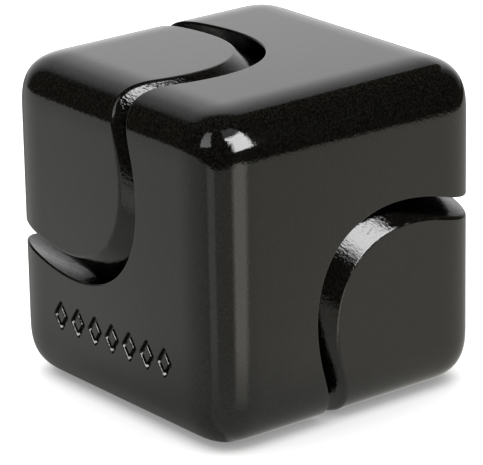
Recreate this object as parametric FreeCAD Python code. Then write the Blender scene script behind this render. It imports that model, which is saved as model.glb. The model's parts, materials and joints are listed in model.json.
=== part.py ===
import FreeCAD, Part
import math
import os

# Cube spinner: a 25 mm rounded metal cube, cut by two round grooves that share one body diagonal.
# The opposite corners inside the grooves are caps on a common axle. Finger and thumb hold the caps,
# and the rest of the cube turns round them on an R188 ball bearing hidden in its middle.
# Millimetres. The origin is the middle of the bottom face, with +Z up. The axle points from the
# cube's centre to the corner at -X, +Y, +Z. Pieces on the axle are drawn about Z, with height 0 at
# the cube's centre, and placed() then turns them onto the axle.

from FreeCAD import Placement, Rotation, Vector

# ---- the cube ----
side = 25.0
edge_radius = 0.126 * side
pocket_radius = 0.442 * side
cap_radius = 0.395 * side
pocket_rim = 0.12
cap_rim = 0.40
web_half = 4.0
cap_gap = 0.35
beyond_corner = side * math.sqrt(3) / 2 + 1

# ---- R188 bearing: 6.35 bore, 12.70 outside, 4.762 wide ----
bore_radius = 6.35 / 2
bearing_radius = 12.70 / 2
bearing_half = 4.762 / 2
ring_chamfer = 0.20
inner_land = 4.12
outer_land = 5.38

ball_radius = 1.588 / 2
ball_count = 10
pitch_radius = (bore_radius + bearing_radius) / 2
race_clearance = 0.012
race_radius = 0.52 * 2 * ball_radius

cage_inner = 4.46
cage_outer = 5.06
cage_back = -1.28
cage_front = 0.42
cage_pocket_radius = ball_radius + 0.05

shield_seat = 1.70
shield_seat_radius = 5.62
shield_outer = shield_seat_radius - 0.01
shield_inner = 4.32
shield_thickness = 0.20
wire_radius = 0.13
wire_ring_radius = 5.64
wire_height = shield_seat + shield_thickness + wire_radius
wire_clearance = 0.01
wire_gap_degrees = 28.0

# ---- bearing seat and its retaining ring ----
seat_clearance = 0.01
shoulder_bore = 5.70
clip_groove_radius = 6.80
clip_groove_width = 0.66
clip_thickness = 0.60
clip_clearance = 0.02
clip_outer = 6.76
clip_inner = 5.86
clip_gap_degrees = 34.0
lug_angle = clip_gap_degrees / 2 + 7.0
lug_inner = 4.55
lug_width = 1.60
lug_overlap = 0.40
eye_radius = 0.35

# ---- axle ----
sleeve_outer = bore_radius - 0.01
sleeve_bore = 2.05
sleeve_end_gap = 0.05
shim_thickness = 0.30
shim_outer = 3.70
shim_bore = sleeve_outer + 0.02
stud_radius = 2.0
stud_half = 11.0
stud_chamfer = 0.45
hole_radius = stud_radius + 0.02
hole_depth = 11.8
drill_point = 1.0
hub_radius = 3.60
hub_root = 0.50

# ---- engraved row of diamonds ----
diamond_count = 7
diamond_pitch = 2.10
diamond_width = 1.70
diamond_height = 2.40
diamond_stroke = 0.36
diamond_depth = 0.28
diamond_row_height = 0.235 * side

centre = Vector(0, 0, side / 2)
axle = Vector(-1, 1, 1).normalize()
on_axle = Placement(centre, Rotation(Vector(0, 0, 1), axle))


# ---- helpers ----
def placed(shape):
    """A shape drawn about its own Z, turned onto the axle with its height 0 at the cube's centre."""
    moved = shape.copy()
    moved.Placement = on_axle.multiply(shape.Placement)
    return moved


def disc(radius, low, high):
    """Solid cylinder about Z between two heights."""
    return Part.makeCylinder(radius, high - low, Vector(0, 0, low))


def side_disc(radius, near, far, sign):
    """Solid cylinder between two distances from height 0, above it (sign 1) or below it (sign -1)."""
    if sign > 0:
        return disc(radius, near, far)
    return disc(radius, -far, -near)


def washer(outer, inner, near, far, sign):
    """Flat ring between two distances from height 0, above it or below it."""
    return side_disc(outer, near, far, sign).cut(side_disc(inner, near - 1, far + 1, sign))


def turned(outline, degrees=360.0):
    """Solid made by turning a closed outline of (radius, height) points about Z."""
    points = [Vector(radius, 0, height) for radius, height in outline]
    wire = Part.makePolygon(points + [points[0]])
    return Part.Face(wire).revolve(Vector(0, 0, 0), Vector(0, 0, 1), degrees)


def axle_place(point):
    """Distance from the axle and height along it, of a point of the finished cube."""
    offset = point - centre
    height = offset.dot(axle)
    return (offset - axle * height).Length, height


def rim_edges(shape, radius):
    """Edges where the round wall of that radius meets the outside of the cube."""
    rims = []
    for edge in shape.Edges:
        first, last = edge.ParameterRange
        places = [axle_place(edge.valueAt(first + (last - first) * step / 4)) for step in range(5)]
        on_wall = all(abs(distance - radius) < 0.01 for distance, height in places)
        heights = [height for distance, height in places]
        if on_wall and max(heights) - min(heights) > 0.05:
            rims.append(edge)
    return rims


# ---- the cube and its caps ----
def rounded_cube():
    box = Part.makeBox(side, side, side, Vector(-side / 2, -side / 2, 0))
    return box.makeFillet(edge_radius, box.Edges)


def diamond(scale, depth):
    """Prism with a diamond outline, cut into the -X face at the height of the origin."""
    half_width = diamond_width * scale / 2
    half_height = diamond_height * scale / 2
    outline = [(half_width, 0), (0, half_height), (-half_width, 0), (0, -half_height)]
    points = [Vector(-side / 2 - 1, y, z) for y, z in outline]
    face = Part.Face(Part.makePolygon(points + [points[0]]))
    return face.extrude(Vector(1 + depth, 0, 0))


def diamond_row():
    """Outlines of diamonds, side by side near the foot of the -X face."""
    inside = 1 - 2 * diamond_stroke / diamond_width
    outline = diamond(1, diamond_depth).cut(diamond(inside, diamond_depth + 1))
    row = []
    for index in range(diamond_count):
        place = (index - (diamond_count - 1) / 2) * diamond_pitch
        copy = outline.copy()
        copy.translate(Vector(0, place, diamond_row_height))
        row.append(copy)
    return row


def cube_body():
    """Cube with a deep round pocket for each cap, and the bearing's seat in the web between them."""
    pockets = [placed(side_disc(pocket_radius, web_half, beyond_corner, sign)) for sign in (1, -1)]
    body = rounded_cube().cut(pockets)
    body = body.makeFillet(pocket_rim, rim_edges(body, pocket_radius))
    seat = disc(bearing_radius + seat_clearance, -bearing_half, web_half + 1)
    shoulder = disc(shoulder_bore, -web_half - 1, web_half)
    groove = disc(clip_groove_radius, bearing_half, bearing_half + clip_groove_width)
    body = body.cut([placed(seat), placed(shoulder), placed(groove)])
    return body.cut(diamond_row())


def corner_cap(sign):
    """Corner of the cube on a round shank, with a hub that reaches in to the bearing."""
    foot = web_half + cap_gap
    cap = rounded_cube().common(placed(side_disc(cap_radius, foot, beyond_corner, sign)))
    cap = cap.makeFillet(cap_rim, rim_edges(cap, cap_radius))
    hub = side_disc(hub_radius, bearing_half + shim_thickness, foot + hub_root, sign)
    hole = side_disc(hole_radius, 0, hole_depth, sign)
    point = Part.makeCone(hole_radius, 0, drill_point, Vector(0, 0, sign * hole_depth), Vector(0, 0, sign))
    return cap.fuse(placed(hub)).cut([placed(hole), placed(point)]).removeSplitter()


# ---- the axle ----
def axle_stud():
    shoulder = stud_half - stud_chamfer
    tip = stud_radius - stud_chamfer
    return turned([(0, -stud_half), (tip, -stud_half), (stud_radius, -shoulder),
                   (stud_radius, shoulder), (tip, stud_half), (0, stud_half)])


def axle_sleeve():
    end = bearing_half + shim_thickness - sleeve_end_gap
    return disc(sleeve_outer, -end, end).cut(disc(sleeve_bore, -end - 1, end + 1))


def shim(sign):
    return washer(shim_outer, shim_bore, bearing_half, bearing_half + shim_thickness, sign)


# ---- the bearing ----
def outer_ring():
    """Outer ring with its raceway, and at each end a seat for a shield and a groove for its wire."""
    shoulder = bearing_half - ring_chamfer
    face = bearing_radius - ring_chamfer
    ring = turned([(outer_land, -bearing_half), (face, -bearing_half), (bearing_radius, -shoulder),
                   (bearing_radius, shoulder), (face, bearing_half), (outer_land, bearing_half)])
    race = Part.makeTorus(pitch_radius + ball_radius + race_clearance - race_radius, race_radius)
    groove_radius = wire_ring_radius + wire_radius + wire_clearance
    groove_half = wire_radius + wire_clearance
    cuts = [race]
    for sign in (1, -1):
        cuts.append(side_disc(shield_seat_radius, shield_seat, bearing_half + 1, sign))
        cuts.append(side_disc(groove_radius, wire_height - groove_half, wire_height + groove_half, sign))
    return ring.cut(cuts)


def inner_ring():
    shoulder = bearing_half - ring_chamfer
    face = bore_radius + ring_chamfer
    ring = turned([(face, -bearing_half), (inner_land, -bearing_half), (inner_land, bearing_half),
                   (face, bearing_half), (bore_radius, shoulder), (bore_radius, -shoulder)])
    race = Part.makeTorus(pitch_radius - ball_radius - race_clearance + race_radius, race_radius)
    return ring.cut(race)


def ball(index, radius):
    """One of the balls, or a ball-shaped hollow round it."""
    angle = 2 * math.pi * index / ball_count
    return Part.makeSphere(radius, Vector(pitch_radius * math.cos(angle), pitch_radius * math.sin(angle), 0))


def cage():
    """Crown cage: a ring behind the balls, with an open round pocket for each."""
    crown = disc(cage_outer, cage_back, cage_front).cut(disc(cage_inner, cage_back - 1, cage_front + 1))
    return crown.cut([ball(index, cage_pocket_radius) for index in range(ball_count)])


def shield(sign):
    return washer(shield_outer, shield_inner, shield_seat, shield_seat + shield_thickness, sign)


def shield_wire(sign):
    """Open spring ring that holds a shield in the outer ring."""
    middle = Vector(wire_ring_radius, 0, sign * wire_height)
    section = Part.Face(Part.Wire(Part.makeCircle(wire_radius, middle, Vector(0, 1, 0))))
    return section.revolve(Vector(0, 0, 0), Vector(0, 0, 1), 360 - wire_gap_degrees)


def retaining_ring():
    """Open flat ring with two eyed lugs, in the groove above the bearing."""
    low = bearing_half + clip_clearance
    high = low + clip_thickness
    ring = washer(clip_outer, clip_inner, low, high, 1)
    gap = turned([(0, low - 1), (clip_outer + 1, low - 1), (clip_outer + 1, high + 1), (0, high + 1)],
                 clip_gap_degrees)
    gap.rotate(Vector(0, 0, 0), Vector(0, 0, 1), -clip_gap_degrees / 2)
    ring = ring.cut(gap)
    for sign in (1, -1):
        reach = clip_inner + lug_overlap - lug_inner
        lug = Part.makeBox(reach, lug_width, clip_thickness, Vector(lug_inner, -lug_width / 2, low))
        eye = disc(eye_radius, low - 1, high + 1)
        eye.translate(Vector(lug_inner + lug_width / 2, 0, 0))
        lug = lug.cut(eye)
        lug.rotate(Vector(0, 0, 0), Vector(0, 0, 1), sign * lug_angle)
        ring = ring.fuse(lug)
    return ring.removeSplitter()


# ---- STEP files ----
def export(name, shape):
    """Check that a piece is one sound solid, and write its STEP file."""
    if len(shape.Solids) != 1 or not shape.isValid():
        raise RuntimeError(f"{name}: {len(shape.Solids)} solids, valid {shape.isValid()}")
    shape.Solids[0].exportStep(f"parts/{name}.step")
    print(f"{name:24s} {shape.Volume:10.3f} mm3")


os.makedirs("parts", exist_ok=True)

export("cube_body", cube_body())
export("axle_stud", placed(axle_stud()))
export("axle_sleeve", placed(axle_sleeve()))
export("bearing_outer_ring", placed(outer_ring()))
export("bearing_inner_ring", placed(inner_ring()))
export("bearing_cage", placed(cage()))
export("bearing_retaining_ring", placed(retaining_ring()))
for index in range(ball_count):
    export(f"bearing_ball_{index + 1:02d}", placed(ball(index, ball_radius)))
for place, sign in (("upper", 1), ("lower", -1)):
    export(f"{place}_corner_cap", corner_cap(sign))
    export(f"{place}_shim_washer", placed(shim(sign)))
    export(f"{place}_bearing_shield", placed(shield(sign)))
    export(f"{place}_shield_wire", placed(shield_wire(sign)))
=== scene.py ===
import json
import math

import bpy
import numpy as np
from mathutils import Matrix, Vector
from mathutils.geometry import delaunay_2d_cdt

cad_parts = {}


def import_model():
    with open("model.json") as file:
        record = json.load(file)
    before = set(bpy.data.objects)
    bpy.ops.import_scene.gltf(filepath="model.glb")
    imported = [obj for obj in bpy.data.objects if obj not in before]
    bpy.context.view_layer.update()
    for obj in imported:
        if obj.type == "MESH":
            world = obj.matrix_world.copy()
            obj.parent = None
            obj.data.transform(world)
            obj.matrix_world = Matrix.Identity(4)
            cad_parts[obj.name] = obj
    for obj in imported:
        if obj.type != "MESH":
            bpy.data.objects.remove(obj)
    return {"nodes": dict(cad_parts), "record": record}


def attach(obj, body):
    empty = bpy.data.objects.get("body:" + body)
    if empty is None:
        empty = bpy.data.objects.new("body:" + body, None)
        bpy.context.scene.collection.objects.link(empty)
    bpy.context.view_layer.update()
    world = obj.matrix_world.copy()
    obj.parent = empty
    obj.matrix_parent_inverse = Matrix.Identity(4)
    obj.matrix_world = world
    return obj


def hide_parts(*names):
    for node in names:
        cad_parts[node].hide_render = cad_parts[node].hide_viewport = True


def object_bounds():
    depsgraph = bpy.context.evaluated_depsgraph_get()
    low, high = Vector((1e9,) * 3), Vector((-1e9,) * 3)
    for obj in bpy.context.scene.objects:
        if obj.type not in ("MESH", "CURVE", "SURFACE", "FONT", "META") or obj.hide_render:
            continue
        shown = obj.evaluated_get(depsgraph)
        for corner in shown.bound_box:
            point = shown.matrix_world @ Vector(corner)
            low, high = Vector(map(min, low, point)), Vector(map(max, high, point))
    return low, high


# Cube spinner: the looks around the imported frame. Metres, in the frame's own place.
# The cube and its two caps get close, smooth meshes of the same shape as their CAD nodes. The bearing
# and the axle keep their CAD meshes and get steel finishes.

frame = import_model()
cad_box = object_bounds()

mm = 0.001

# ---- the cube, from the frame ----
low_corner = Vector(cad_box[0])
high_corner = Vector(cad_box[1])
side = high_corner.z - low_corner.z
middle = (low_corner + high_corner) / 2
edge_blend = 0.176 * side
blend_power = 3
pocket_radius = 0.442 * side
cap_radius = 0.395 * side
pocket_rim = 0.12 * mm
cap_rim = 0.40 * mm
web_half = 4.0 * mm
cap_gap = 0.35 * mm

# ---- the bearing's seat, and the cap's hub and tapped hole ----
seat_radius = 6.36 * mm
shoulder_bore = 5.70 * mm
bearing_half = 2.381 * mm
clip_groove_radius = 6.80 * mm
clip_groove_width = 0.66 * mm
hub_radius = 3.60 * mm
hub_end = bearing_half + 0.30 * mm
hole_radius = 2.02 * mm
hole_depth = 11.8 * mm
drill_point = 1.0 * mm

# ---- engraved row of diamonds on the -X face ----
diamond_count = 7
diamond_pitch = 2.10 * mm
diamond_width = 1.70 * mm
diamond_height = 2.40 * mm
diamond_stroke = 0.36 * mm
diamond_depth = 0.28 * mm
diamond_row_height = 0.235 * side
lip_radius = 0.06 * mm
base_radius = 0.06 * mm
wall_run = 0.116 * mm
corner_radius = 0.02 * mm
window_margin = 0.36 * mm

# ---- how near a flat face or a turned wall a point counts as on it, and where the wall's finish is full ----
flat_tolerance = 0.0001 * mm
wall_tolerance = 0.02 * mm
wall_fade = 0.20 * mm

# ---- how finely the meshes are divided ----
cap_cells = 144
columns = 4 * cap_cells
band_rows = 144
rim_steps = 6
arc_steps = 5
halvings = 46
card_cells = 24

# ---- limits that keep a division safe inside the cube, where its level is flat ----
smallest_total = 1e-30
least_steepness = 0.5

# ---- the camera ----
view_turn = math.radians(-38.09)
view_rise = math.radians(19.41)
view_roll = math.radians(1.1)
view_distance = 260 * mm
view_lens = 261.3
sensor_width = 36
near_clip = 10 * mm
aim = middle + Vector((-0.47, -0.17, -1.19)) * mm

# Axes of the axle: two across it, and one along it to the upper cap.
along = np.array((-1.0, 1.0, 1.0)) / math.sqrt(3)
across = np.array((1.0, 1.0, 0.0)) / math.sqrt(2)
sideways = np.cross(along, across)


# ---- the shape of the cube, measured from its centre ----
# Its edges blend into the faces with no sudden start of the curve, as on a polished casting.
def cube_offset(points):
    """How far each coordinate is past the flat part of the cube's faces."""
    return np.maximum(np.abs(points) - (side / 2 - edge_blend), 0)


def cube_level(points):
    """Negative inside the cube, zero on its surface and positive outside it."""
    return (cube_offset(points) ** blend_power).sum(axis=-1) ** (1 / blend_power) - edge_blend


def cube_slope(points):
    """The way in which the level rises, and how fast."""
    offset = cube_offset(points)
    total = np.maximum((offset ** blend_power).sum(axis=-1, keepdims=True), smallest_total)
    return np.sign(points) * offset ** (blend_power - 1) / total ** (1 - 1 / blend_power)


def cube_distance(points):
    """Distance from the cube's surface, true close to it."""
    steepness = np.linalg.norm(cube_slope(points), axis=-1)
    return cube_level(points) / np.maximum(steepness, least_steepness)


def cube_normal(points):
    return unit(cube_slope(points))


def unit(vectors):
    return vectors / np.linalg.norm(vectors, axis=-1, keepdims=True)


def slerp(first, last, shares):
    """Rows of unit vectors that turn evenly from first to last."""
    angle = np.arccos(np.clip((first * last).sum(axis=-1), -1, 1))[None, :, None]
    share = np.asarray(shares)[:, None, None]
    return (np.sin((1 - share) * angle) * first + np.sin(share * angle) * last) / np.sin(angle)


def crossing(value, shape):
    """How far along each line value() turns positive, found by halving."""
    low = np.zeros(shape)
    high = np.full(shape, side)
    for _ in range(halvings):
        half = (low + high) / 2
        inside = value(half) < 0
        low = np.where(inside, half, low)
        high = np.where(inside, high, half)
    return (low + high) / 2


def radial(turns):
    return np.cos(turns)[..., None] * across + np.sin(turns)[..., None] * sideways


def ring(turns, radius, height):
    """Points round the axle at a distance from it and a height along it."""
    radius = np.broadcast_to(radius, turns.shape)[..., None]
    height = np.broadcast_to(height, turns.shape)[..., None]
    return radial(turns) * radius + along * height


def rim(turns, radius, facing, sign, rounding):
    """The small round where a round wall meets the outside of the cube, from the outside to the wall.
    The wall faces away from the axle (facing 1) or towards it (facing -1)."""
    distance = radius - facing * rounding
    height = crossing(lambda h: cube_distance(ring(turns, distance, sign * h)) + rounding, turns.shape)
    core = ring(turns, distance, sign * height)
    normals = slerp(cube_normal(core), facing * radial(turns), np.linspace(0, 1, rim_steps + 1))
    points = core + rounding * normals
    points[0] -= cube_distance(points[0])[:, None] * cube_normal(points[0])
    return points, normals


def finish_guides(points):
    """Which points are on a turned wall, from 0 to 1, and how many millimetres each is from a sharp rim."""
    depth = np.maximum(-cube_distance(points), 0)
    radius = np.linalg.norm(np.cross(points, along), axis=-1)
    aside = np.minimum(np.abs(radius - pocket_radius), np.abs(radius - cap_radius))
    on_wall = np.where(aside < wall_tolerance, np.clip(depth / wall_fade, 0, 1), 0)
    return on_wall, np.hypot(aside, depth) / mm


# ---- mesh building ----
class Skin:
    """A closed mesh that is gathered row by row, with a normal at every corner of every face."""

    def __init__(self):
        self.points = []
        self.count = 0
        self.faces = []
        self.corners = []

    def add(self, points):
        """Adds points and gives their numbers, in the same rows."""
        points = np.asarray(points)
        numbers = np.arange(points[..., 0].size).reshape(points.shape[:-1]) + self.count
        self.points.append(points.reshape(-1, 3))
        self.count += numbers.size
        return numbers

    def polygons(self, numbers, normals):
        """Faces of three or four corners, turned so that they face the way their normals point."""
        points = np.concatenate(self.points)[numbers]
        facing = np.cross(points[:, 1] - points[:, 0], points[:, -1] - points[:, 0])
        backwards = (facing * normals[:, 0]).sum() < 0
        if backwards:
            numbers = numbers[:, ::-1]
            normals = normals[:, ::-1]
        self.faces.extend(numbers.tolist())
        self.corners.append(normals.reshape(-1, 3))

    def grid(self, numbers, normals, closed=True, keep=None):
        """Quads between the neighbouring rows and columns of a grid.
        A closed grid's last column meets its first."""
        if closed:
            numbers = np.concatenate((numbers, numbers[:, :1]), axis=1)
            normals = np.concatenate((normals, normals[:, :1]), axis=1)
        around = [(slice(0, -1), slice(0, -1)), (slice(1, None), slice(0, -1)),
                  (slice(1, None), slice(1, None)), (slice(0, -1), slice(1, None))]
        quads = np.stack([numbers[place] for place in around], axis=-1)
        facings = np.stack([normals[place] for place in around], axis=-2)
        if keep is None:
            keep = np.ones(quads.shape[:2], bool)
        self.polygons(quads[keep], facings[keep])

    def lathe(self, turns, first, first_at, outline, sign, solid_side):
        """Turned walls from the row called first, through an outline of (radius, height).
        Gives the last row."""
        for radius, height in outline:
            last = self.add(ring(turns, radius, sign * height))
            self.wall(turns, first, first_at, last, (radius, height), sign, solid_side)
            first = last
            first_at = (radius, height)
        return last

    def wall(self, turns, first, first_at, last, last_at, sign, solid_side):
        """One turned wall between two rows. Seen with radius to the right and height up, the solid is on the
        right of the way from first to last (solid_side 1) or on its left (solid_side -1)."""
        step = np.array(last_at) - np.array(first_at)
        outward = unit(solid_side * np.array((-step[1], step[0])))
        normal = radial(turns) * outward[0] + along * outward[1] * sign
        self.grid(np.stack((first, last)), np.stack((normal, normal)))

    def fan(self, turns, row, tip):
        """Triangles from a row to one point."""
        centre = self.add([tip])[0]
        after = np.roll(row, -1)
        numbers = np.stack((row, after, np.full_like(row, centre)), axis=-1)
        points = np.concatenate(self.points)[numbers]
        normal = unit(np.cross(points[:, 1] - points[:, 0], points[:, 2] - points[:, 0]))
        inward = -radial(turns)
        normal *= np.sign((normal * inward).sum(axis=-1, keepdims=True))
        self.polygons(numbers, np.repeat(normal[:, None], 3, axis=1))

    def build(self, name):
        mesh = bpy.data.meshes.new(name)
        points = np.concatenate(self.points) + np.array(middle)
        mesh.from_pydata(points.tolist(), [], self.faces)
        mesh.polygons.foreach_set("use_smooth", [True] * len(mesh.polygons))
        mesh.normals_split_custom_set(np.concatenate(self.corners).tolist())
        mesh.validate()
        on_wall, rim_gap = finish_guides(np.concatenate(self.points))
        mesh.attributes.new("turned_wall", "FLOAT", "POINT").data.foreach_set("value", on_wall)
        mesh.attributes.new("rim_gap", "FLOAT", "POINT").data.foreach_set("value", rim_gap)
        piece = bpy.data.objects.new(name, mesh)
        bpy.context.scene.collection.objects.link(piece)
        return piece


# ---- the engraved row ----
diamond_side = math.hypot(diamond_width, diamond_height) / 2
outline_inradius = diamond_width * diamond_height / (4 * diamond_side)
stroke_half = outline_inradius * diamond_stroke / diamond_width
path_inradius = outline_inradius - stroke_half


def trench_profile():
    """Across the engraved line from its outer lip to its inner one: offset, depth, and the normal's part
    along the face and its part out of it."""
    slope = math.atan2(diamond_depth, wall_run)
    lip = (stroke_half + wall_run / 2, 0, lip_radius)
    base = (stroke_half - wall_run / 2, diamond_depth, -base_radius)
    angles = np.linspace(0, slope, arc_steps + 1)
    half = []
    for (offset, depth, bulge), turns in ((lip, angles), (base, angles[::-1])):
        reach = abs(bulge) * math.tan(slope / 2)
        start = offset + reach if bulge > 0 else offset - reach
        for turn in turns:
            sideways_part = -math.sin(turn)
            outward_part = math.cos(turn)
            half.append((start + bulge * sideways_part, depth + bulge * (1 - outward_part),
                         sideways_part, outward_part))
    return half + [(-offset, depth, -part, outward) for offset, depth, part, outward in half[::-1]]


def diamond_loop(offset):
    """Points round a diamond, at an offset outside its middle line, and which way is outward at each."""
    rounding = corner_radius + max(offset, 0)
    reach = (path_inradius + offset - rounding) / outline_inradius
    slope = math.atan2(diamond_width, diamond_height)
    steep = math.pi / 2 - slope
    corners = [(diamond_width / 2, 0, 0, slope), (0, diamond_height / 2, math.pi / 2, steep),
               (-diamond_width / 2, 0, math.pi, slope), (0, -diamond_height / 2, -math.pi / 2, steep)]
    points = []
    outward = []
    for y, z, facing, spread in corners:
        for share in np.linspace(-1, 1, arc_steps):
            turn = facing + spread * share
            outward.append((math.cos(turn), math.sin(turn)))
            points.append((y * reach + rounding * outward[-1][0], z * reach + rounding * outward[-1][1]))
    return np.array(points), np.array(outward)


def on_face(flat, depth=0.0):
    """Points of the -X face from (y, z) pairs about the face's middle, sunk by a depth."""
    return np.stack((np.full(len(flat), depth - side / 2), flat[:, 0], flat[:, 1]), axis=-1)


def engraved_window(points):
    """Which points of the cube lie in the part of the -X face that holds the row."""
    half_length = (diamond_count * diamond_pitch) / 2 + window_margin
    half_height = diamond_height / 2 + window_margin
    height = points[..., 2] + side / 2 - diamond_row_height
    on_side = points[..., 0] < flat_tolerance - side / 2
    return on_side & (np.abs(points[..., 1]) < half_length) & (np.abs(height) < half_height)


def engrave(skin, numbers, removed):
    """Fills the window left in the outside with a flat face that holds the engraved row."""
    edges = window_edges(numbers, removed)
    profile = trench_profile()
    for index in range(diamond_count):
        place = np.array(((index - (diamond_count - 1) / 2) * diamond_pitch, diamond_row_height - side / 2))
        rows = []
        normals = []
        for offset, depth, part, outward_part in profile:
            flat, outward = diamond_loop(offset)
            rows.append(skin.add(on_face(flat + place, depth)))
            normals.append(np.insert(outward * part, 0, -outward_part, axis=1))
        skin.grid(np.stack(rows), np.stack(normals))
        for loop in (rows[0], rows[-1]):
            edges += list(zip(loop.tolist(), np.roll(loop, -1).tolist()))
    fill_flat(skin, edges)


def window_edges(numbers, removed):
    """Edges between the quads that were left out and those that were kept."""
    edges = {}
    for row, column in zip(*np.nonzero(removed)):
        ring_column = (column + 1) % numbers.shape[1]
        quad = [numbers[row, column], numbers[row + 1, column],
                numbers[row + 1, ring_column], numbers[row, ring_column]]
        for first, second in zip(quad, quad[1:] + quad[:1]):
            key = (int(min(first, second)), int(max(first, second)))
            edges[key] = edges.get(key, 0) + 1
    return [edge for edge, uses in edges.items() if uses == 1]


def fill_flat(skin, edges):
    """Triangles of the -X face, inside an odd number of the outlines that the edges make."""
    used = sorted({number for edge in edges for number in edge})
    place = {number: index for index, number in enumerate(used)}
    flat = np.concatenate(skin.points)[used][:, 1:] / mm
    links = [(place[first], place[second]) for first, second in edges]
    # Triangles come back for the whole hull, and the test for an odd number below drops those outside.
    # Points closer together than closeness, in millimetres, count as one.
    whole_hull = 0
    closeness = 1e-6
    found = delaunay_2d_cdt([Vector(point) for point in flat], links, [], whole_hull, closeness)
    triangles = np.array(found[2])
    origins = [sources[0] for sources in found[3]]
    flat = np.array([tuple(point) for point in found[0]])
    middles = flat[triangles].mean(axis=1)
    starts = flat[[origins.index(first) for first, second in links]]
    ends = flat[[origins.index(second) for first, second in links]]
    crossed = (starts[:, 1] > middles[:, 1:]) != (ends[:, 1] > middles[:, 1:])
    rise = np.where(starts[:, 1] == ends[:, 1], 1.0, ends[:, 1] - starts[:, 1])
    at = starts[:, 0] + (middles[:, 1:] - starts[:, 1]) / rise * (ends[:, 0] - starts[:, 0])
    inside = (crossed & (at > middles[:, :1])).sum(axis=1) % 2 == 1
    numbers = np.array(used)[np.array(origins)[triangles[inside]]]
    skin.polygons(numbers, np.broadcast_to((-1.0, 0.0, 0.0), (len(numbers), 3, 3)))


# ---- the cube and the caps ----
def cube_skin():
    skin = Skin()
    turns = np.linspace(0, 2 * math.pi, columns, endpoint=False)
    upper_rim, upper_normals = rim(turns, pocket_radius, -1, 1, pocket_rim)
    lower_rim, lower_normals = rim(turns, pocket_radius, -1, -1, pocket_rim)
    rays = slerp(unit(upper_rim[0]), unit(lower_rim[0]), np.linspace(0, 1, band_rows + 1))
    reach = crossing(lambda r: cube_level(rays * r[..., None]), rays.shape[:2])
    band = rays * reach[..., None]
    band[0] = upper_rim[0]
    band[-1] = lower_rim[0]
    numbers = skin.add(band)
    inside = engraved_window(np.concatenate((band, band[:, :1]), axis=1))
    removed = inside[:-1, :-1] & inside[1:, :-1] & inside[:-1, 1:] & inside[1:, 1:]
    skin.grid(numbers, cube_normal(band), keep=~removed)
    engrave(skin, numbers, removed)
    upper_edge = np.concatenate((numbers[:1], skin.add(upper_rim[1:])))
    skin.grid(upper_edge, upper_normals)
    lower_edge = np.concatenate((numbers[-1:], skin.add(lower_rim[1:])))
    skin.grid(lower_edge, lower_normals)
    walls = [(pocket_radius, web_half), (seat_radius, web_half),
             (seat_radius, bearing_half + clip_groove_width),
             (clip_groove_radius, bearing_half + clip_groove_width),
             (clip_groove_radius, bearing_half), (seat_radius, bearing_half),
             (seat_radius, -bearing_half), (shoulder_bore, -bearing_half),
             (shoulder_bore, -web_half), (pocket_radius, -web_half)]
    last = skin.lathe(turns, upper_edge[-1], (pocket_radius, side), walls, 1, -1)
    skin.wall(turns, last, walls[-1], lower_edge[-1], (pocket_radius, -side), 1, -1)
    return skin


def disc_grid():
    """A square grid pressed into a round one: turn and share of the radius at each point."""
    place = np.linspace(-1, 1, cap_cells + 1)
    a, b = np.meshgrid(place, place, indexing="ij")
    wide = np.abs(a) > np.abs(b)
    reach = np.where(wide, a, b)
    ratio = np.where(wide, b, a) / np.where(reach == 0, 1, reach)
    swing = np.where(wide, ratio * math.pi / 4, math.pi / 2 - ratio * math.pi / 4)
    return np.arctan2(reach * np.sin(swing), reach * np.cos(swing)), np.abs(reach)


def border(grid):
    """The points round the edge of a square grid, in order."""
    return np.concatenate((grid[:-1, 0], grid[-1, :-1], grid[:0:-1, -1], grid[0, :0:-1]))


def cap_skin(sign):
    skin = Skin()
    turns, share = disc_grid()
    contact = rim(turns.ravel(), cap_radius, 1, sign, cap_rim)[0][0].reshape(*turns.shape, 3)
    x = (contact @ across) * share
    y = (contact @ sideways) * share
    flat = x[..., None] * across + y[..., None] * sideways
    height = crossing(lambda h: cube_level(flat + sign * h[..., None] * along), turns.shape)
    dome = flat + sign * height[..., None] * along
    numbers = skin.add(dome)
    skin.grid(numbers, cube_normal(dome), closed=False)
    turns = border(turns)
    edge, normals = rim(turns, cap_radius, 1, sign, cap_rim)
    rows = np.concatenate((border(numbers)[None], skin.add(edge[1:])))
    skin.grid(rows, normals)
    foot = web_half + cap_gap
    walls = [(cap_radius, foot), (hub_radius, foot), (hub_radius, hub_end),
             (hole_radius, hub_end), (hole_radius, hole_depth)]
    last = skin.lathe(turns, rows[-1], (cap_radius, side), walls, sign, 1)
    skin.fan(turns, last, sign * (hole_depth + drill_point) * along)
    return skin


# ---- studio ----
white = (1, 1, 1)
room_color = (0.062, 0.058, 0.046, 1)
softbox_strength = 15.0
softbox_fade = 14.2

# The floor: its paper's shade, and its own glow, which a painted shadow darkens from the open towards the
# foot of the cube.
paper_color = (0.5, 0.5, 0.5, 1)
open_light = 0.78
painted_shadow_glow = 0.22
painted_shadow_reach = 16 * mm
# Its corners in metres: away from the camera, to the left and up, from the cube's near edge.
floor_corners = [(-0.09, 0.26, 0), (-0.09, -0.10, 0), (0.40, -0.10, 0), (0.40, 0.26, 0)]
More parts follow.
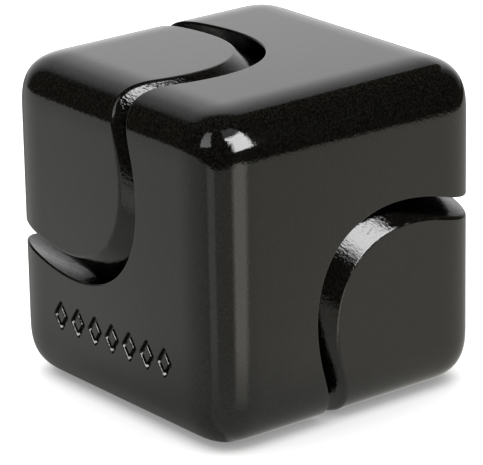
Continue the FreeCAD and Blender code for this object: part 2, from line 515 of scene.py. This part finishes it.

# The floor as the gloss shows it: soft patches of painted light and shadow at (turn, level, 1 where a painted
# shadow at the cube's foot darkens them), which start at near_patches from the cube's near edge and are full
# at far_patches.
painted_light_patch_stops = [(180, 0.27, 0), (150, 0.27, 0), (145, 0.45, 0), (139, 1.0, 0), (119, 0.95, 0), (113, 0.38, 0),
               (100, 0.39, 0), (90, 0.44, 0), (65, 0.43, 0), (42, 0.32, 0), (30, 0.20, 0), (8, 0.20, 1),
               (-20, 0.20, 1), (-30, 0.15, 1), (-45, 0.40, 1), (-60, 0.43, 1), (-72, 0.35, 1),
               (-90, 0.31, 1), (-118, 0.29, 1), (-134, 0.26, 0), (-140, 0.48, 0), (-157, 0.48, 0),
               (-163, 0.27, 0)]
painted_patch_glow = 2.0
near_patches = 7 * mm
far_patches = 22 * mm
# Painted shadow: the patches' colour close to the cube's near edge, blending into the patches by far_patches.
painted_foot_shadow_color = (0.30, 0.30, 0.29, 1)
# Patches turned further to the right than warm_side are warmer in colour than the others.
warm_side = 60
warmth = 0.13
slight_warmth = 0.04


def toward(turn, rise):
    """Direction from the cube: turned to the right from straight away from the camera, and raised."""
    turn = math.radians(turn)
    rise = math.radians(rise)
    away = Vector((-math.sin(view_turn), math.cos(view_turn), 0))
    right = Vector((math.cos(view_turn), math.sin(view_turn), 0))
    level = away * math.cos(turn) + right * math.sin(turn)
    return level * math.cos(rise) + Vector((0, 0, 1)) * math.sin(rise)


def camera():
    data = bpy.data.cameras.new("camera")
    data.lens = view_lens
    data.sensor_width = sensor_width
    data.clip_start = near_clip
    back = -toward(0, math.degrees(-view_rise))
    level = Vector((math.cos(view_turn), math.sin(view_turn), 0))
    up = back.cross(level)
    right = level * math.cos(view_roll) - up * math.sin(view_roll)
    up = back.cross(right)
    turned = Matrix((right, up, back)).transposed().to_4x4()
    holder = bpy.data.objects.new("camera", data)
    holder.matrix_world = Matrix.Translation(aim + back * view_distance) @ turned
    bpy.context.scene.collection.objects.link(holder)
    bpy.context.scene.camera = holder


def emission(tree, color, strength):
    glow = tree.nodes.new("ShaderNodeEmission")
    glow.inputs["Color"].default_value = (*color, 1)
    glow.inputs["Strength"].default_value = strength
    return glow


def direction_on(edge, share):
    """Direction at a share of the way up an edge, given as (turn, rise) directions from its foot."""
    place = share * (len(edge) - 1)
    index = min(int(place), len(edge) - 2)
    (turn, rise), (next_turn, next_rise) = edge[index:index + 2]
    along_step = place - index
    return turn + (next_turn - turn) * along_step, rise + (next_rise - rise) * along_step


def glow_card(name, left, right, distance, brightness):
    """A lit card round the cube, seen only in its gloss. Its left and right edges are (turn, rise) directions
    from the foot up, and brightness() takes a direction in the same way."""
    points = []
    glow = []
    for row in range(card_cells + 1):
        up = row / card_cells
        start = direction_on(left, up)
        end = direction_on(right, up)
        for column in range(card_cells + 1):
            over = column / card_cells
            turn = start[0] + (end[0] - start[0]) * over
            rise = start[1] + (end[1] - start[1]) * over
            points.append(middle + toward(turn, rise) * distance)
            glow.append(brightness(turn, rise))
    faces = []
    for row in range(card_cells):
        for column in range(card_cells):
            first = row * (card_cells + 1) + column
            above = first + card_cells + 1
            faces.append((first, first + 1, above + 1, above))
    material, tree = new_material(name)
    light = emission(tree, white, 1.0)
    level = tree.nodes.new("ShaderNodeAttribute")
    level.attribute_name = "glow"
    tree.links.new(level.outputs["Fac"], light.inputs["Strength"])
    tree.links.new(light.outputs["Emission"], output_of(tree).inputs["Surface"])
    sheet = stage_sheet(name, points, faces, material)
    attribute = sheet.data.attributes.new("glow", "FLOAT", "POINT")
    attribute.data.foreach_set("value", glow)
    sheet.visible_camera = False
    sheet.visible_diffuse = False
    sheet.visible_shadow = False


def backdrop_glow(turn, rise):
    """Brightest low down and straight ahead, and darker to the left and towards the top."""
    across_it = np.interp(turn, (-60, -50, -38, -25, -12, -3, 6, 15),
                          (0.05, 0.57, 0.88, 0.97, 1.34, 1.30, 1.18, 1.08))
    up_left = np.interp(rise, (16, 20, 28, 33, 38, 46, 50, 54),
                        (1, 0.97, 0.89, 0.84, 0.72, 0.52, 0.33, 0.05))
    up_right = np.interp(rise, (15, 17, 20, 24, 32, 38, 44, 48, 54),
                         (1, 0.97, 0.87, 0.77, 0.67, 0.60, 0.53, 0.42, 0.05))
    return across_it * (up_left + (up_right - up_left) * ramp(turn, -26, -6))


def softbox_glow(turn, rise):
    """Bright in its middle, and faint in its lower right corner and at its top.
    The top slopes down to the right."""
    corner = ramp(turn, 138, 146) * (1 - ramp(rise, 22, 37))
    top = 48 - 3 * ramp(turn, 112, 136)
    return (softbox_strength - softbox_fade * ramp(rise, top - 3, top + 3)) * (1 - corner)


def stage_sheet(name, points, faces, material):
    mesh = bpy.data.meshes.new(name)
    mesh.from_pydata([tuple(point) for point in points], [], faces)
    mesh.materials.append(material)
    sheet = bpy.data.objects.new(name, mesh)
    bpy.context.scene.collection.objects.link(sheet)
    return sheet


def new_material(name):
    material = bpy.data.materials.new(name)
    material.use_nodes = True
    tree = material.node_tree
    tree.nodes.clear()
    tree.nodes.new("ShaderNodeOutputMaterial")
    return material, tree


def output_of(tree):
    return next(node for node in tree.nodes if node.type == "OUTPUT_MATERIAL")


def ramp(share, low, high):
    """0 below low, 1 above high, and smooth between."""
    share = min(max((share - low) / (high - low), 0), 1)
    return share * share * (3 - 2 * share)


def floor():
    """A pale sheet that glows of itself, plain to the camera but for a painted shadow round the cube's foot.
    In the cube's gloss it shows soft patches of painted light and shadow round the near edge.
    """
    material, tree = new_material("floor_paper")
    paper = tree.nodes.new("ShaderNodeBsdfDiffuse")
    paper.inputs["Color"].default_value = paper_color
    # The floor's own glow, darkened towards the cube's foot by a painted shadow from ambient occlusion.
    fill = emission(tree, white, 1.0)
    shade = tree.nodes.new("ShaderNodeAmbientOcclusion")
    shade.inputs["Distance"].default_value = painted_shadow_reach
    tree.links.new(remap(tree, shade.outputs["AO"], 0, 1, painted_shadow_glow, open_light), fill.inputs["Strength"])
    plain = tree.nodes.new("ShaderNodeAddShader")
    tree.links.new(paper.outputs["BSDF"], plain.inputs[0])
    tree.links.new(fill.outputs["Emission"], plain.inputs[1])
    place = tree.nodes.new("ShaderNodeTexCoord")
    around = tree.nodes.new("ShaderNodeTexGradient")
    around.gradient_type = "RADIAL"
    # The wheel of painted light and shadow patches that the gloss sees on the floor.
    patches = tree.nodes.new("ShaderNodeValToRGB")
    tree.links.new(place.outputs["Object"], around.inputs["Vector"])
    tree.links.new(around.outputs["Fac"], patches.inputs["Fac"])
    wheel = patches.color_ramp
    for turn, level, contact in painted_light_patch_stops[2:]:
        wheel.elements.new(0.5 - turn / 360)
    for element, (turn, level, contact) in zip(wheel.elements, painted_light_patch_stops):
        element.position = 0.5 - turn / 360
        warm = warmth if turn > warm_side else slight_warmth
        element.color = (level, level * (1 - warm / 5), level * (1 - warm), contact)
    far = tree.nodes.new("ShaderNodeVectorMath")
    far.operation = "LENGTH"
    tree.links.new(place.outputs["Object"], far.inputs[0])
    farness = remap(tree, far.outputs["Value"], near_patches, far_patches, 0, 1)
    # Painted shadow in the gloss: the patches fade to a dark colour near the cube, and those marked at the
    # foot are darkened by ambient occlusion.
    clear = blend_colors(tree, farness, painted_foot_shadow_color, patches.outputs["Color"])
    shadowed_patches = blend_colors(tree, 1.0, clear, shade.outputs["Color"], "MULTIPLY")
    shine = emission(tree, white, painted_patch_glow)
    tree.links.new(blend_colors(tree, patches.outputs["Alpha"], clear, shadowed_patches), shine.inputs["Color"])
    path = tree.nodes.new("ShaderNodeLightPath")
    mix = tree.nodes.new("ShaderNodeMixShader")
    tree.links.new(path.outputs["Is Glossy Ray"], mix.inputs["Fac"])
    tree.links.new(plain.outputs["Shader"], mix.inputs[1])
    tree.links.new(shine.outputs["Emission"], mix.inputs[2])
    tree.links.new(mix.outputs["Shader"], output_of(tree).inputs["Surface"])
    away = toward(0, 0)
    left = toward(-90, 0)
    near_edge = low_corner + Vector((1, 1, 0)) * mm
    # The sheet's own X axis points away from the camera, and its pattern turns about the near edge.
    sheet = stage_sheet("floor", floor_corners, [(0, 1, 2, 3)], material)
    turned = Matrix((away, left, Vector((0, 0, 1)))).transposed().to_4x4()
    sheet.matrix_world = Matrix.Translation(near_edge) @ turned


def remap(tree, value, low, high, to_low, to_high):
    """Stretches a value's range, and holds it at both ends."""
    node = tree.nodes.new("ShaderNodeMapRange")
    for socket, number in zip(node.inputs[1:5], (low, high, to_low, to_high)):
        socket.default_value = number
    tree.links.new(value, node.inputs[0])
    return node.outputs["Result"]


def blend_colors(tree, factor, first, second, mode="MIX"):
    """Mixes two colours, each given as a colour or as a node's output."""
    node = tree.nodes.new("ShaderNodeMix")
    node.data_type = "RGBA"
    node.blend_type = mode
    for socket, value in ((node.inputs[0], factor), (node.inputs[6], first), (node.inputs[7], second)):
        if isinstance(value, (tuple, float)):
            socket.default_value = value
        else:
            tree.links.new(value, socket)
    return node.outputs[2]


def soft_lamp(name, turn, rise, distance, size, power):
    """A wide lamp that lights the floor and the steel, and isn't seen in the gloss."""
    data = bpy.data.lights.new(name, "AREA")
    data.size = size
    data.energy = power
    lamp = bpy.data.objects.new(name, data)
    place = middle + toward(turn, rise) * distance
    turned = (middle - place).to_track_quat("-Z", "Y").to_matrix().to_4x4()
    lamp.matrix_world = Matrix.Translation(place) @ turned
    lamp.visible_camera = False
    lamp.visible_glossy = False
    bpy.context.scene.collection.objects.link(lamp)


def world():
    surroundings = bpy.data.worlds.new("studio")
    bpy.context.scene.world = surroundings
    surroundings.use_nodes = True
    tree = surroundings.node_tree
    tree.nodes.clear()
    output = tree.nodes.new("ShaderNodeOutputWorld")
    path = tree.nodes.new("ShaderNodeLightPath")
    mix = tree.nodes.new("ShaderNodeMixShader")
    room = tree.nodes.new("ShaderNodeBackground")
    room.inputs["Color"].default_value = room_color
    paper = tree.nodes.new("ShaderNodeBackground")
    paper.inputs["Color"].default_value = (*white, 1)
    tree.links.new(path.outputs["Is Camera Ray"], mix.inputs["Fac"])
    tree.links.new(room.outputs["Background"], mix.inputs[1])
    tree.links.new(paper.outputs["Background"], mix.inputs[2])
    tree.links.new(mix.outputs["Shader"], output.inputs["Surface"])


# ---- finishes ----
# The lacquer: periods of its patterns, heights of its relief, and colours.
grain_period = 0.20 * mm
grain_height = 0.006 * mm
ripple_period = 1.6 * mm
ripple_height = 0.003 * mm
chatter_period = 0.18 * mm
chatter_stretch = (1.0, 1.0, 0.6)
chatter_height = 0.026 * mm
speck_period = 0.16 * mm
scuff_period = 0.7 * mm
smudge_period = 7 * mm
lacquer_color = (0.001, 0.001, 0.001)
flake_color = (0.0070, 0.0067, 0.0058, 1)
worn_color = (0.016, 0.0155, 0.014, 1)
lacquer_roughness = 0.07
smoothest = 0.055
roughest = 0.095
wear_roughness = 0.25
# Wear is full up to the first distance from a rim, in millimetres, and gone at the second.
full_wear = 0.03
no_wear = 0.12

# Each steel: its dark and light tone, its range of roughness, whether it has rings round the axle, and its
# grain's period and height.
steel_finishes = {
    "plated_steel": ((0.50, 0.50, 0.51), (0.66, 0.66, 0.65), (0.22, 0.34), True, 0.05 * mm, 0.002 * mm),
    "bearing_steel": ((0.50, 0.50, 0.50), (0.60, 0.60, 0.60), (0.14, 0.24), True, 0.03 * mm, 0.0008 * mm),
    "polished_steel": ((0.70, 0.70, 0.71), (0.77, 0.77, 0.78), (0.03, 0.07), False, 0.10 * mm, 0.0001 * mm),
    "pressed_steel": ((0.46, 0.46, 0.45), (0.58, 0.58, 0.57), (0.28, 0.42), False, 0.06 * mm, 0.0015 * mm),
    "spring_steel": ((0.05, 0.05, 0.05), (0.16, 0.155, 0.15), (0.35, 0.55), False, 0.05 * mm, 0.002 * mm)}
gloss_ior = 1.5
cloud_period = 1.3 * mm
cloud_height = 0.002 * mm
sheen_period = 0.6 * mm

# Where on a pattern's own scale, from 0 to 1, its effect starts and is full.
scuff_range = (0.50, 0.70)
speck_range = (0.42, 0.68)
smudge_range = (0.35, 0.70)
cloud_range = (0.35, 0.65)
sheen_range = (0.3, 0.7)


def principled(tree, color, roughness, metallic=0.0):
    shader = tree.nodes.new("ShaderNodeBsdfPrincipled")
    shader.inputs["Base Color"].default_value = (*color, 1)
    shader.inputs["Roughness"].default_value = roughness
    shader.inputs["Metallic"].default_value = metallic
    shader.inputs["IOR"].default_value = gloss_ior
    tree.links.new(shader.outputs["BSDF"], output_of(tree).inputs["Surface"])
    return shader


def object_place(tree):
    """Where a point lies in the frame, in metres."""
    return tree.nodes.new("ShaderNodeTexCoord").outputs["Object"]


def axle_place(tree, stretch=(1.0, 1.0, 1.0)):
    """Where a point lies across the axle and along it, with each part stretched by its own factor."""
    from_middle = tree.nodes.new("ShaderNodeVectorMath")
    from_middle.operation = "SUBTRACT"
    from_middle.inputs[1].default_value = middle
    tree.links.new(object_place(tree), from_middle.inputs[0])
    joined = tree.nodes.new("ShaderNodeCombineXYZ")
    for index, (axis, factor) in enumerate(zip((across, sideways, along), stretch)):
        part = tree.nodes.new("ShaderNodeVectorMath")
        part.operation = "DOT_PRODUCT"
        part.inputs[1].default_value = Vector(axis) * factor
        tree.links.new(from_middle.outputs["Vector"], part.inputs[0])
        tree.links.new(part.outputs["Value"], joined.inputs[index])
    return joined.outputs["Vector"]


def turned_place(tree):
    """Distance from the axle and place along it: the same all the way round, as a lathe leaves it."""
    place = axle_place(tree)
    split = tree.nodes.new("ShaderNodeSeparateXYZ")
    tree.links.new(place, split.inputs[0])
    flat = tree.nodes.new("ShaderNodeCombineXYZ")
    tree.links.new(split.outputs["X"], flat.inputs["X"])
    tree.links.new(split.outputs["Y"], flat.inputs["Y"])
    radius = tree.nodes.new("ShaderNodeVectorMath")
    radius.operation = "LENGTH"
    tree.links.new(flat.outputs["Vector"], radius.inputs[0])
    joined = tree.nodes.new("ShaderNodeCombineXYZ")
    tree.links.new(radius.outputs["Value"], joined.inputs["X"])
    tree.links.new(split.outputs["Z"], joined.inputs["Y"])
    return joined.outputs["Vector"]


def noise(tree, place, period, detail=2.0):
    node = tree.nodes.new("ShaderNodeTexNoise")
    node.inputs["Scale"].default_value = 1 / period
    node.inputs["Detail"].default_value = detail
    tree.links.new(place, node.inputs["Vector"])
    return node.outputs["Fac"]


def product(tree, first, second):
    """Multiplies a node's output by a number or by another output."""
    node = tree.nodes.new("ShaderNodeMath")
    node.operation = "MULTIPLY"
    tree.links.new(first, node.inputs[0])
    if isinstance(second, float):
        node.inputs[1].default_value = second
    else:
        tree.links.new(second, node.inputs[1])
    return node.outputs["Value"]


def guide(tree, name):
    """A number that the mesh carries at each of its points."""
    node = tree.nodes.new("ShaderNodeAttribute")
    node.attribute_name = name
    return node.outputs["Fac"]


def bump(tree, height, distance, normal=None):
    node = tree.nodes.new("ShaderNodeBump")
    node.inputs["Distance"].default_value = distance
    tree.links.new(height, node.inputs["Height"])
    if normal is not None:
        tree.links.new(normal, node.inputs["Normal"])
    return node.outputs["Normal"]


def lacquer():
    """Gloss black lacquer on a cast body: fine grain, a slow ripple, rougher turned walls and worn rims."""
    material, tree = new_material("black_lacquer")
    shader = principled(tree, lacquer_color, lacquer_roughness)
    place = object_place(tree)
    grain = noise(tree, place, grain_period)
    ripple = noise(tree, place, ripple_period)
    chatter = noise(tree, axle_place(tree, chatter_stretch), chatter_period)
    normal = bump(tree, grain, grain_height)
    normal = bump(tree, ripple, ripple_height, normal)
    normal = bump(tree, product(tree, chatter, guide(tree, "turned_wall")), chatter_height, normal)
    tree.links.new(normal, shader.inputs["Normal"])
    near_rim = remap(tree, guide(tree, "rim_gap"), full_wear, no_wear, 1, 0)
    scuffs = remap(tree, noise(tree, place, scuff_period, detail=5.0), *scuff_range, 0, 1)
    worn = product(tree, near_rim, scuffs)
    specks = remap(tree, noise(tree, place, speck_period, detail=1.0), *speck_range, 0, 1)
    flake = blend_colors(tree, specks, (0, 0, 0, 1), flake_color)
    tree.links.new(blend_colors(tree, worn, flake, worn_color), shader.inputs["Base Color"])
    smudges = remap(tree, noise(tree, place, smudge_period, detail=4.0), *smudge_range, smoothest, roughest)
    rough = tree.nodes.new("ShaderNodeMath")
    rough.operation = "ADD"
    tree.links.new(smudges, rough.inputs[0])
    tree.links.new(product(tree, worn, wear_roughness), rough.inputs[1])
    tree.links.new(rough.outputs["Value"], shader.inputs["Roughness"])
    return material


def steel(name, dark, light, roughness, turned, period, height):
    """Bare or plated steel. A turned one has fine rings round the axle, and the others an even grain."""
    material, tree = new_material(name)
    shader = principled(tree, light, roughness[0], metallic=1.0)
    place = object_place(tree)
    grain = noise(tree, turned_place(tree) if turned else place, period, detail=3.0)
    cloud = noise(tree, place, cloud_period, detail=4.0)
    tone = blend_colors(tree, remap(tree, cloud, *cloud_range, 0, 1), (*dark, 1), (*light, 1))
    tree.links.new(tone, shader.inputs["Base Color"])
    sheen = noise(tree, place, sheen_period, detail=3.0)
    tree.links.new(remap(tree, sheen, *sheen_range, *roughness), shader.inputs["Roughness"])
    normal = bump(tree, grain, height)
    tree.links.new(bump(tree, cloud, cloud_height, normal), shader.inputs["Normal"])
    return material


def finish_steels():
    """Gives every CAD node that stays in view the steel of its own slot."""
    steels = {name: steel(name, *finish) for name, finish in steel_finishes.items()}
    slots = {row["node"]: row["material_slot"] for row in frame["record"]["subparts"]}
    for name, node in frame["nodes"].items():
        if slots[name] in steels:
            node.data.materials.clear()
            node.data.materials.append(steels[slots[name]])


def place_skin(name, skin, material, node, body):
    piece = skin.build(name)
    piece.data.materials.append(material)
    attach(piece, body)
    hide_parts(node)


black = lacquer()
place_skin("lacquered_cube", cube_skin(), black, "cube_body", "cube")
place_skin("lacquered_upper_cap", cap_skin(1), black, "upper_corner_cap", "corner_grips")
place_skin("lacquered_lower_cap", cap_skin(-1), black, "lower_corner_cap", "corner_grips")

finish_steels()

camera()
world()
floor()
soft_lamp("overhead_lamp", turn=-30, rise=80, distance=0.5, size=0.9, power=9.0)
glow_card("right_softbox", left=[(110, 8), (110, 24), (109, 40), (108, 56), (106, 72)],
          right=[(138, 8), (155, 22), (151, 36), (161, 42), (172, 72)], distance=0.8,
          brightness=softbox_glow)
glow_card("left_softbox", left=[(-149, 25), (-135, 62)], right=[(-117, 15), (-113, 56)], distance=0.8,
          brightness=lambda turn, rise: 3.6 - 0.03 * rise)
glow_card("backdrop", left=[(-62, -14), (-62, 54)], right=[(24, -14), (24, 54)], distance=0.8,
          brightness=backdrop_glow)
glow_card("low_strip", left=[(9, -2), (14, 26)], right=[(60, -2), (56, 44)], distance=0.75,
          brightness=lambda turn, rise: 1.1 - 0.9 * ramp(turn, 20, 54))

bpy.context.scene.view_settings.view_transform = "Standard"
